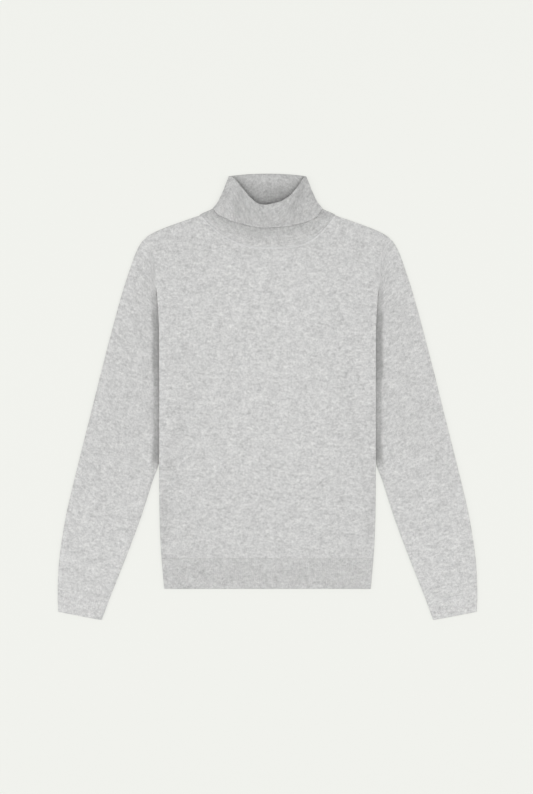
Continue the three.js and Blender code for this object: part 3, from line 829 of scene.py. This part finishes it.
def neckSeam(share):
    return cloth["seamGap"] * (0.4 + 3.5 * share**6)


def rollStepAt(along, front):
    return collar["rollStep"] + np.where(front, collar["rollFlare"] * smooth(along, collar["flareStart"], 1), 0)


standPart = {
    "side": standSide,
    "fromUp": body["neckPointUp"] - 0.6,
    "toUp": collar["cornerUp"] - 2,
    "start": lambda share, front: np.where(front, frontNeckUp(share), backNeckUp(share)) + neckSeam(share),
    "end": foldUp,
    "step": lambda along, front: 0 * along,
    "creases": standCreases,
}
rollPart = {
    "side": sideRows,
    "fromUp": collar["cornerUp"] - foldGap + halfWall,
    "toUp": sideRows["up"][-1],
    "start": foldUp,
    "end": lambda share, front: np.where(
        front, readTable(collar["frontFreeEdge"], "share", "up", share), collar["backFreeEdgeUp"]
    ),
    "step": rollStepAt,
    "creases": rollCreases,
}


def collarPoint(turn, along, part):
    sideUp = lerp(part["fromUp"], part["toUp"], along)
    half = readTable(part["side"], "up", "half", sideUp) - halfWall
    layer, across = turnPlace(turn, 2 * half)
    share = across * 2 - 1
    front = layer > 0
    up = lerp(part["start"](share, front), part["end"](share, front), along)
    x = share * half
    fromFold = half * (1 - np.abs(share))
    openZ = collarZ(share, up, front) + np.where(front, 1, -1) * part["step"](along, front)
    soft = smooth(fromFold, *collar["creaseInset"]) * smooth(along, 0, collar["creaseStart"]) * front
    openZ = openZ + soft * creaseRise(part["creases"], x, up)
    foot = halfWall + (cloth["layerStep"] + body["sideAir"]) / 2
    top = (collar["frontStandZ"] + collar["backStandZ"]) / 2
    middle = lerp(foot, top, smooth(up, body["neckPointUp"] - 1, collar["sideRiseTo"]))
    return spread(x, up, lerp(middle, openZ, closing(fromFold, np.abs(openZ - middle))))


def collarGrid(turns, standAlong, bendAlong, rollAlong):
    turn = turns[None, :]
    inside, outside = collarPoint(turn, np.ones((1, 1)), standPart), collarPoint(turn, np.zeros((1, 1)), rollPart)
    before = collarPoint(turn, np.full((1, 1), 0.97), standPart)
    centre, radius = (inside + outside) / 2, (outside - inside) / 2
    size = np.linalg.norm(radius, axis=-1, keepdims=True)
    ahead = inside - before
    ahead = unit(ahead - radius * (ahead * radius).sum(-1, keepdims=True) / size**2) * size
    angle = (bendAlong * math.pi)[:, None, None]
    bend = centre - radius * np.cos(angle) + ahead * np.sin(angle)
    parts = [collarPoint(turn, standAlong[:, None], standPart), bend, collarPoint(turn, rollAlong[:, None], rollPart)]
    return np.concatenate(parts)


def collarPaintedShading(grid, turns, standCount):
    # painted shade inside the neck, on the stand under the roll's free edge and in creases, a painted highlight along
    # the free edge, and a roll that is lighter at its two ends
    x, up, shade = grid[..., 0], grid[..., 1], collar["shade"]
    aside, row = np.abs(x), np.arange(len(grid))[:, None]
    onStand, front = row < standCount, np.mod(turns, 6) <= 3
    rim = readTable(collar["frontFold"], "share", "up", x / (collar["cornerHalf"] + 1))
    reach = lerp(*shade["reach"], smooth(aside, *shade["reachAside"]))
    falloff = lerp(1, shade["falloff"], smooth(aside, *shade["falloffAside"]))
    deep = np.clip(1 - np.maximum(up - rim, 0) / reach, 0, 1) ** falloff
    deep = deep * (1 - shade["paler"] * smooth(aside, *shade["palerAside"]))
    inside = shade["inside"] - shade["hollow"] * ~front * onStand * deep
    belowEdge = rollPart["end"](x / sideRows["half"][-1], True) - up
    foot = lerp(*shade["foot"], smooth(belowEdge, 0, shade["footReach"]))
    creased = np.where(onStand, creaseRise(standCreases, x, up), creaseRise(rollCreases, x, up))
    paintedTroughShade = 1 + shade["trough"] * np.minimum(creased, shade["deepest"]) * front
    middle, left, right = shade["roll"]
    roll = middle + left * smooth(-x, *shade["rollLeft"]) + right * smooth(x, *shade["rollRight"])
    # painted highlight along the roll's free edge
    edge = shade["edge"] * smooth(row, len(grid) - 6, len(grid) - 4)
    # the roll is turned down, so its face that shows is the wall's inner one
    return np.where(onStand, foot * paintedTroughShade, 1), np.where(onStand, inside, (roll + edge) * paintedTroughShade)


def makeCollar():
    section = lambda turns: collarPoint(turns[None, :], np.full((1, 1), 0.45), rollPart)[0]
    steps = collar["ribs"] * collar["stepsPerRib"]
    turns, _ = evenColumns(section, 0, 6, steps, True)
    standAlong, standThick = edgedShares(collar["standRows"], collar["standLength"], cloth["seamRim"], 0.01)
    rollAlong, rollThick = edgedShares(collar["rollRows"], collar["rollLength"], 0.01, cloth["freeRim"])
    # the bend takes the place of the rows where the stand would end and the roll begin
    standAlong, standThick, rollAlong, rollThick = standAlong[:-3], standThick[:-3], rollAlong[3:], rollThick[3:]
    bendAlong = np.linspace(0, 1, collar["bendRows"] + 2)[1:-1]
    thickness = join(standThick, np.ones(len(bendAlong)), rollThick)
    thickness[len(standThick) - 1 : len(standThick) + len(bendAlong) + 1] = 1
    grid = collarGrid(turns, standAlong, bendAlong, rollAlong)
    rowSteps = np.linalg.norm(np.diff(grid, axis=0), axis=-1)
    alongAt = join(np.zeros((1, len(turns))), np.cumsum(rowSteps, 0))
    phase = np.arange(steps + 1)[None, :] / collar["stepsPerRib"]
    acrossAt = (phase + 0.25) * collar["knitPitch"] + collar["knitShift"]
    knit = spread(acrossAt, np.concatenate([alongAt, alongAt[:, :1]], 1))
    fields = ribFields(grid[..., 2], phase[:, :-1], 1, alongAt)
    fields["tone"] = collarPaintedShading(grid, turns, len(standAlong))
    return wallMesh("rollCollar", grid, thickness, knit, ring=True, fields=fields)


rollCollar = makeCollar()
print("collar made")

# Geometry Nodes trees


class Graph:
    # makes and links the nodes of one tree
    def __init__(self, tree):
        self.tree = tree

    def feed(self, node, links):
        # names a socket by its label or number, and gives it another node's output or a plain value
        for key, value in links.items():
            if isinstance(value, bpy.types.NodeSocket):
                self.tree.links.new(value, node.inputs[key])
            else:
                node.inputs[key].default_value = value
        return node

    def add(self, kind, links=None, **settings):
        node = self.tree.nodes.new(kind)
        for key, value in settings.items():
            setattr(node, key, value)
        return self.feed(node, links or {}).outputs

    def math(self, operation, *values):
        return self.add("ShaderNodeMath", dict(enumerate(values)), operation=operation)[0]

    def times(self, *values):
        return self.math("MULTIPLY", *values)

    def plus(self, *values):
        return self.math("ADD", *values)

    def minus(self, *values):
        return self.math("SUBTRACT", *values)

    def named(self, label, kind="FLOAT"):
        return self.add("GeometryNodeInputNamedAttribute", {"Name": label}, data_type=kind)[0]

    def dress(self, given, geometry):
        real = self.add("GeometryNodeRealizeInstances", {0: geometry})[0]
        dressed = self.add("GeometryNodeSetMaterial", {"Geometry": real, "Material": given["Finish"]})[0]
        self.add("NodeGroupOutput", {0: dressed})


def geometryTree(name, labels):
    tree = bpy.data.node_groups.new(name, "GeometryNodeTree")
    for way in ("INPUT", "OUTPUT"):
        tree.interface.new_socket("Geometry", in_out=way, socket_type="NodeSocketGeometry")
    kinds = {label: "NodeSocketFloat" for label in labels} | {"Finish": "NodeSocketMaterial"}
    sockets = {k: tree.interface.new_socket(k, in_out="INPUT", socket_type=v).identifier for k, v in kinds.items()}
    graph = Graph(tree)
    return graph, graph.add("NodeGroupInput"), sockets


def ribTree():
    # moves a wall's points along their normals by a wave, so that ribs stand out on its two faces
    graph, given, sockets = geometryTree("ribs", ["Relief"])
    wave = graph.math("COSINE", graph.times(graph.named("ribPhase"), 2 * math.pi))
    height = graph.times(graph.times(wave, graph.named("ribStrength")), given["Relief"])
    normal = graph.add("GeometryNodeInputNormal")[0]
    offset = graph.add("ShaderNodeVectorMath", {0: normal, "Scale": height}, operation="SCALE")[0]
    graph.dress(given, graph.add("GeometryNodeSetPosition", {"Geometry": given["Geometry"], "Offset": offset})[0])
    return graph.tree, sockets


def loopTree():
    # a row of knitted loops along a line, each lying in the cloth's face
    graph, given, sockets = geometryTree("linkedLoops", ["Pitch", "Length", "Width", "Yarn"])
    circle, align = "GeometryNodeCurvePrimitiveCircle", "FunctionNodeAlignRotationToVector"
    line = graph.add("GeometryNodeMeshToCurve", {0: given["Geometry"]})[0]
    points = graph.add("GeometryNodeCurveToPoints", {"Curve": line, "Length": given["Pitch"]}, mode="LENGTH")
    along = graph.add(align, {"Vector": points["Tangent"]}, axis="X")[0]
    facing = {"Rotation": along, "Vector": graph.named("facing", "FLOAT_VECTOR")}
    lying = graph.add(align, facing, axis="Z", pivot_axis="X")[0]
    ring = graph.add(circle, {"Resolution": 8, "Radius": 1.0}, mode="RADIUS")[0]
    halves = {i: graph.times(given[k], 0.5) for i, k in enumerate(("Length", "Width"))}
    shape = graph.add("ShaderNodeCombineXYZ", halves | {2: 1.0})[0]
    oval = graph.add("GeometryNodeTransform", {"Geometry": ring, "Scale": shape})[0]
    yarn = graph.add(circle, {"Resolution": 5, "Radius": graph.times(given["Yarn"], 0.5)}, mode="RADIUS")[0]
    loop = graph.add("GeometryNodeCurveToMesh", {"Curve": oval, "Profile Curve": yarn})[0]
    places = {"Points": points[0], "Instance": loop, "Rotation": lying}
    graph.dress(given, graph.add("GeometryNodeInstanceOnPoints", places)[0])
    return graph.tree, sockets


def bake(piece, tree, sockets, values):
    # runs a tree on a piece and keeps the result as its plain mesh
    modifier = piece.modifiers.new(tree.name, "NODES")
    modifier.node_group = tree
    for label, value in values.items():
        modifier[sockets[label]] = value
    piece.update_tag()
    bpy.context.view_layer.update()
    evaluated = piece.evaluated_get(bpy.context.evaluated_depsgraph_get())
    mesh = bpy.data.meshes.new_from_object(evaluated)
    piece.modifiers.remove(modifier)
    piece.data = mesh
    mesh.name = piece.name
    smoothFaces(mesh)
    return piece


# Finishes

knitting = {"bump": 0.0004, "bumpStrength": 0.7, "fuzzScale": 2600.0, "fuzz": 0.5}
stitchInputs = {"Vector": (0, 0, 0), "Wale": 0.0016, "Course": 0.00125}
knitColours = {"Light": (0.93, 0.93, 0.915, 1), "Dark": (0.44, 0.44, 0.438, 1)}
# the colour of the painted shade between the stitches' legs
paintedGapShade = (0.45, 0.45, 0.45, 1)
knitSheen = {"Roughness": 0.95, "Specular IOR Level": 0.15, "Sheen Weight": 0.18, "Sheen Roughness": 0.55}


def shaderGroup(name, inputs, outputs):
    # inputs come with their first values, outputs with their kinds
    tree = bpy.data.node_groups.new(name, "ShaderNodeTree")
    for label, value in inputs.items():
        kind = {3: "Vector", 4: "Color"}[len(value)] if isinstance(value, tuple) else "Float"
        tree.interface.new_socket(label, in_out="INPUT", socket_type="NodeSocket" + kind).default_value = value
    for label, kind in outputs.items():
        tree.interface.new_socket(label, in_out="OUTPUT", socket_type="NodeSocket" + kind)
    graph = Graph(tree)
    return graph, graph.add("NodeGroupInput")


def stitchCells(graph, given):
    # where a place lies in its stitch: which leg and row, how far across the wale and up the leg
    parted = graph.add("ShaderNodeSeparateXYZ", {0: given["Vector"]})
    across = graph.math("DIVIDE", parted[0], given["Wale"])
    leg = graph.times(graph.math("ABSOLUTE", graph.minus(graph.math("FRACT", across), 0.5)), 2.0)
    up = graph.minus(graph.math("DIVIDE", parted[1], given["Course"]), graph.times(leg, 0.6))
    column = graph.math("FLOOR", graph.times(across, 2.0))
    return column, graph.math("FLOOR", up), leg, graph.math("FRACT", up)


def heatherGroup():
    # light and dark fibres spun together: each leg of a stitch has one tone, with finer fibres over it
    graph, given = shaderGroup("heather", stitchInputs | knitColours | {"Contrast": 1.0}, {"Color": "Color"})
    column, row, _, _ = stitchCells(graph, given)
    places = {0: graph.times(column, graph.times(given["Wale"], 0.5)), 1: graph.times(row, given["Course"])}
    byStitch = graph.add("ShaderNodeCombineXYZ", places)[0]
    layers = [
        # place, scale along the courses and the wales, turn in degrees, detail, weight
        (byStitch, (115, 160, 1), 0, 2, 0.72),
        (byStitch, (230, 290, 1), 15, 2, 0.92),
        (byStitch, (95, 240, 1), 38, 1, 0.35),
        (byStitch, (45, 60, 1), -20, 1, 0.4),
        (given["Vector"], (1500, 700, 1), 25, 2, 0.5),
    ]
    legs = graph.add("ShaderNodeCombineXYZ", {0: column, 1: row})[0]
    odd = graph.add("ShaderNodeTexWhiteNoise", {"Vector": legs}, noise_dimensions="2D")["Value"]
    total = graph.times(graph.minus(odd, 0.5), 0.36)
    for place, scale, turn, detail, weight in layers:
        turned = {"Vector": place, "Rotation": (0, 0, math.radians(turn)), "Scale": scale}
        mapped = graph.add("ShaderNodeMapping", turned)[0]
        noise = graph.add("ShaderNodeTexNoise", {"Vector": mapped, "Scale": 1.0, "Detail": detail})[0]
        total = graph.plus(total, graph.times(graph.minus(noise, 0.5), weight))
    tone = graph.plus(graph.times(total, given["Contrast"]), 0.5)
    mixed = {0: tone, 6: given["Dark"], 7: given["Light"]}
    graph.add("NodeGroupOutput", {"Color": graph.add("ShaderNodeMix", mixed, data_type="RGBA")[2]})
    return graph.tree


def stitchGroup():
    # plain knitting: columns of V-shaped stitches, as a height and as a mask of the gaps between the legs, where
    # shade is painted
    graph, given = shaderGroup("stitches", stitchInputs, {"Height": "Float", "Gap": "Float"})
    _, _, leg, upLeg = stitchCells(graph, given)
    stripe = graph.math("SINE", graph.times(upLeg, math.pi))
    bulge = graph.math("POWER", graph.math("SINE", graph.times(leg, math.pi)), 0.6)
    height = graph.times(bulge, graph.plus(graph.times(stripe, 0.55), 0.45))
    graph.add("NodeGroupOutput", {"Height": height, "Gap": graph.minus(1.0, height)})
    return graph.tree


heather, stitches = heatherGroup(), stitchGroup()


def newMaterial(name):
    material = bpy.data.materials.new(name)
    material.use_nodes = True
    return material, Graph(material.node_tree), material.node_tree.nodes["Principled BSDF"]


def knitMaterial(name, shade=1.0, gapShare=0.3, contrast=1.0, bySurface=True):
    material, graph, shader = newMaterial(name)
    if bySurface:
        place = graph.add("ShaderNodeUVMap", uv_map="knit")[0]
    else:
        place = graph.add("ShaderNodeTexCoord")["Object"]
    tints = {k: tuple(min(shade * c, 1) for c in colour[:3]) + (1,) for k, colour in knitColours.items()}
    spun = {"Vector": place, "Contrast": contrast} | tints
    colour = graph.add("ShaderNodeGroup", spun, node_tree=heather)["Color"]
    if bySurface:
        knitted = graph.add("ShaderNodeGroup", {"Vector": place}, node_tree=stitches)
        # painted shade in the gaps between the stitches' legs
        gaps = {0: graph.times(knitted["Gap"], gapShare), 6: colour, 7: paintedGapShade}
        colour = graph.add("ShaderNodeMix", gaps, data_type="RGBA")[2]
        fibres = {"Vector": place, "Scale": knitting["fuzzScale"], "Detail": 2.0}
        fuzz = graph.times(graph.add("ShaderNodeTexNoise", fibres)[0], knitting["fuzz"])
        # the tone attribute holds each wall's painted shade and light, and scales the colour
        tone = graph.add("ShaderNodeAttribute", attribute_name="tone")["Fac"]
        colour = graph.add("ShaderNodeVectorMath", {0: colour, "Scale": tone}, operation="SCALE")[0]
        relief = {"Distance": knitting["bump"], "Strength": knitting["bumpStrength"]}
        relief["Height"] = graph.plus(knitted["Height"], fuzz)
        graph.feed(shader, {"Normal": graph.add("ShaderNodeBump", relief)[0]})
    graph.feed(shader, {"Base Color": colour} | knitSheen)
    return material


fineKnit = knitMaterial("fineKnit", gapShare=0.25)
for piece in (frontPanel, backPanel, sleeveLeft, sleeveRight):
    piece.data.materials.append(fineKnit)
ribs, ribSockets = ribTree()
# the hem's and collar's darker shares are partly the rib's denser knit and partly painted shade in its grooves; the
# cuff's lighter share is painted light, as on the sleeves towards the cuff
ribbed = [  # finish, share of the plain tone, sizes, pieces
    ("hemKnit", 0.907, hemRib, (hemRibFront, hemRibBack)),
    ("cuffKnit", 1.04, cuff, (cuffLeft, cuffRight)),
    ("collarKnit", 0.835, collar, (rollCollar,)),
]
for name, shade, sizes, pieces in ribbed:
    values = {"Relief": sizes["relief"] / 2 * millimetre, "Finish": knitMaterial(name, shade)}
    for piece in pieces:
        bake(piece, ribs, ribSockets, values)
# lighter than the cloth, as a painted highlight on the seams' raised loops
linkingYarn = knitMaterial("linkingYarn", 1.22, contrast=0.4, bySurface=False)
print("ribs raised")

# Seams

seams = {
    "neck": {"Pitch": 1.8, "Length": 2.6, "Width": 2.0, "Yarn": 0.7},
    "armhole": {"Pitch": 2.2, "Length": 1.5, "Width": 1.0, "Yarn": 0.45},
    "shoulder": {"Pitch": 2.4, "Length": 1.6, "Width": 1.3, "Yarn": 0.4},
    "ribTop": {"Pitch": 1.6, "Length": 1.1, "Width": 0.9, "Yarn": 0.45},
}
loops, loopSockets = loopTree()


def makeSeam(name, line, facing, sizes):
    mesh = newMesh(name, toMetres(line).tolist(), [(i, i + 1) for i in range(len(line) - 1)], [])
    facing = np.broadcast_to(np.array(facing, np.float32), line.shape)
    mesh.attributes.new("facing", "FLOAT_VECTOR", "POINT").data.foreach_set("vector", facing.ravel())
    values = {k: v * millimetre for k, v in sizes.items()} | {"Finish": linkingYarn}
    return bake(addObject(name, mesh), loops, loopSockets, values)


def neckLine(beyond=1.2):
    # read just inside the panel's edge, then moved back onto it
    share = np.linspace(-0.985, 0.985, 161)
    up = frontNeckUp(share) + neckSeam(share) * 0.2
    line = bodyPoint(share * body["neckHalf"], up - beyond, 1)
    line[:, 1] += beyond
    line[:, 2] += halfWall - 0.1
    return line


seamPieces = [makeSeam("neckLinking", neckLine(), (0, 0, 1), seams["neck"])]
for side, sign in sides.items():
    plan = armholeCurve.spaced(60)[1:-2]
    line = bodyPoint(plan[:, 0] - 0.6, plan[:, 1], 1)
    line[:, 0] = plan[:, 0] * sign
    line[:, 2] += halfWall - 0.12
    seamPieces.append(makeSeam("armholeSeam" + side, line, (0, 0, 1), seams["armhole"]))
for side, sign in sides.items():
    line = np.stack([shoulderHalves, shoulderUp(shoulderHalves) + halfWall - 0.1], -1)[:-1]
    line = bodyPoint(line[:, 0], line[:, 1], 0)
    line[:, 0] *= sign
    seamPieces.append(makeSeam("shoulderSeam" + side, line, (0, 1, 0), seams["shoulder"]))
hemLineX = np.linspace(-1, 1, 121) * (float(sideHalf(body["hemRibUp"])) - 5)
hemLine = bodyPoint(hemLineX, np.full(121, float(body["hemRibUp"])), 1)
hemLine[:, 2] += halfWall - 0.3
seamPieces.append(makeSeam("hemRibJoin", hemLine, (0, 0, 1), seams["ribTop"]))
print("seams made:", len(seamPieces))

# Every piece goes on the root, and the solid it stands for is hidden

sheets = [  # flat sizes in metres, and the flat area of what isn't a rectangle
    (frontPanel, "front", (0.423, 0.584), 0.2075, "laid", ["back"], "fine_knit", seamPieces[:5]),
    (backPanel, "back", (0.423, 0.584), 0.2145, "laid", ["sleeve_left", "sleeve_right"], "fine_knit", []),
    (sleeveLeft, "sleeve_left", (0.268, 0.614), 0.128, "laid", [], "fine_knit", []),
    (sleeveRight, "sleeve_right", (0.268, 0.614), 0.128, "laid", [], "fine_knit", []),
    (hemRibFront, "hem_rib_front", (0.361, 0.052), None, "laid", ["hem_rib_back"], "rib_knit", []),
    (hemRibBack, "hem_rib_back", (0.361, 0.052), None, "laid", [], "rib_knit", []),
    (cuffLeft, "cuff_left", (0.15, 0.038), None, "laid", [], "rib_knit", []),
    (cuffRight, "cuff_right", (0.15, 0.038), None, "laid", [], "rib_knit", []),
    (rollCollar, "roll_collar", (0.46, 0.118), 0.041, "folded", ["back"], "rib_knit", []),
]
for piece in seamPieces:
    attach(piece, "root")
for piece, node, flat, area, held, under, slotName, stitched in sheets:
    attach(piece, "root")
    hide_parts(node)

# Floor, lights, camera

studio = {
    "floor": {
        "Base Color": (0.259, 0.26, 0.249, 1),
        "Emission Color": (0.612, 0.619, 0.59, 1),  # an evenly lit ground, with hardly a shadow
        "Emission Strength": 1.0,
        "Roughness": 0.9,
        "Specular IOR Level": 0.1,
    },
    "floorSize": 14,
    "floorZ": -0.0003,
    "sideBox": {"place": (2.3, 0.0, 2.8), "size": (1.8, 2.8), "power": 40},
    "topBox": {"place": (0, -0.6, 4.3), "size": (3.0, 3.0), "power": 21},
    "roomLight": 0.52,
    "lens": 85,
    "cameraPlace": (-0.0017, -0.0003, 3.193),
}


def makeFloor():
    size, z = studio["floorSize"] / 2, studio["floorZ"]
    corners = [(-size, -size, z), (size, -size, z), (size, size, z), (-size, size, z)]
    floor = addObject("floor", newMesh("floor", corners, [], [(0, 1, 2, 3)]))
    material, graph, shader = newMaterial("paleFloor")
    place = graph.add("ShaderNodeTexCoord")["Object"]
    grain = graph.add("ShaderNodeTexNoise", {"Vector": place, "Scale": 900.0, "Detail": 2.0})[0]
    relief = graph.add("ShaderNodeBump", {"Height": grain, "Distance": 0.0001, "Strength": 0.15})[0]
    graph.feed(shader, {"Normal": relief} | studio["floor"])
    floor.data.materials.append(material)


def makeSoftbox(name, box, side=1):
    light = bpy.data.lights.new(name, "AREA")
    light.shape = "RECTANGLE"
    light.size, light.size_y = box["size"]
    light.energy = box["power"]
    lamp = addObject(name, light)
    x, y, z = box["place"]
    lamp.location = (x * side, y, z)
    lamp.rotation_euler = (-Vector(lamp.location)).to_track_quat("-Z", "Y").to_euler()


makeFloor()
makeSoftbox("softboxLeft", studio["sideBox"])
makeSoftbox("softboxRight", studio["sideBox"], -1)
makeSoftbox("softboxTop", studio["topBox"])
world = bpy.data.worlds.new("room")
world.use_nodes = True
roomLight = {"Color": (1, 1, 1, 1), "Strength": studio["roomLight"]}
Graph(world.node_tree).feed(world.node_tree.nodes["Background"], roomLight)
bpy.context.scene.world = world
bpy.context.scene.view_settings.view_transform = "Standard"

camera = addObject("camera", bpy.data.cameras.new("camera"))
camera.data.lens = studio["lens"]
camera.location = studio["cameraPlace"]
bpy.context.scene.camera = camera
print("studio ready")
